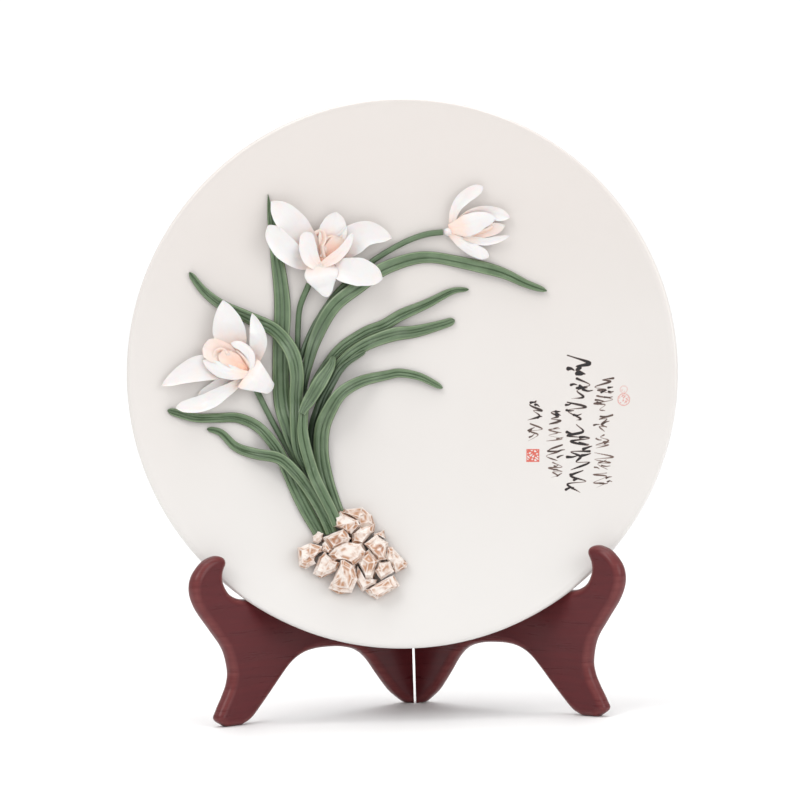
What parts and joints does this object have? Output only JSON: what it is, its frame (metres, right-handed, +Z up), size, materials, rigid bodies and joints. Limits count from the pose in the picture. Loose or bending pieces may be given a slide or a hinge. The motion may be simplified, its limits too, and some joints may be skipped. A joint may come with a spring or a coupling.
{
  "type": "decorative plate on a folding stand",
  "caption": "White porcelain display plate with a raised narcissus bunch and cut stones, held by a folding wooden plate stand.",
  "frame": {"origin": "centre of the bounding box at the surface that the stand's feet rest on", "axes": "+Z up, -Y towards the viewer and the plate's face, +X to the viewer's right"},
  "size_m": [0.2598, 0.0876, 0.2921],
  "materials": {
    "porcelain": "gloss",
    "leaf_bisque": "satin",
    "petal_bisque": "satin",
    "stone_bisque": "satin",
    "lacquered_wood": "satin",
    "hinge_brass": "satin"
  },
  "bodies": {
    "base": {"plate": "porcelain", "stem_upper_flower": "leaf_bisque", "stem_right_flower": "leaf_bisque", "stem_left_flower": "leaf_bisque", "leaf_tall": "leaf_bisque", "leaf_long_arch": "leaf_bisque", "leaf_upper_left": "leaf_bisque", "leaf_right_upper": "leaf_bisque", "leaf_right_lower": "leaf_bisque", "leaf_inner": "leaf_bisque", "leaf_lower_left_long": "leaf_bisque", "leaf_c_curve": "leaf_bisque", "leaf_lower_left_short": "leaf_bisque", "leaf_front_folded": "leaf_bisque", "flower_upper": "petal_bisque", "flower_left": "petal_bisque", "flower_right": "petal_bisque", "stone_01": "stone_bisque", "stone_02": "stone_bisque", "stone_03": "stone_bisque", "stone_04": "stone_bisque", "stone_05": "stone_bisque", "stone_06": "stone_bisque", "stone_07": "stone_bisque", "stone_08": "stone_bisque", "stone_09": "stone_bisque", "stone_10": "stone_bisque", "stone_11": "stone_bisque", "stone_12": "stone_bisque", "stone_13": "stone_bisque", "stone_14": "stone_bisque", "stone_15": "stone_bisque", "stone_16": "stone_bisque", "stone_17": "stone_bisque", "stand_wing_left": "lacquered_wood", "hinge_leaf_left": "hinge_brass", "hinge_pin": "hinge_brass", "hinge_screw_left_low": "hinge_brass", "hinge_screw_left_high": "hinge_brass"},
    "right_wing": {"stand_wing_right": "lacquered_wood", "hinge_leaf_right": "hinge_brass", "hinge_screw_right_low": "hinge_brass", "hinge_screw_right_high": "hinge_brass"}
  },
  "joints": [
    {"name": "wing_fold", "type": "hinge", "parent": "base", "child": "right_wing", "pos_m": [0, 0.0375, 0.092], "axis": [0, 0, 1], "range_deg": [0, 1.5]}
  ]
}
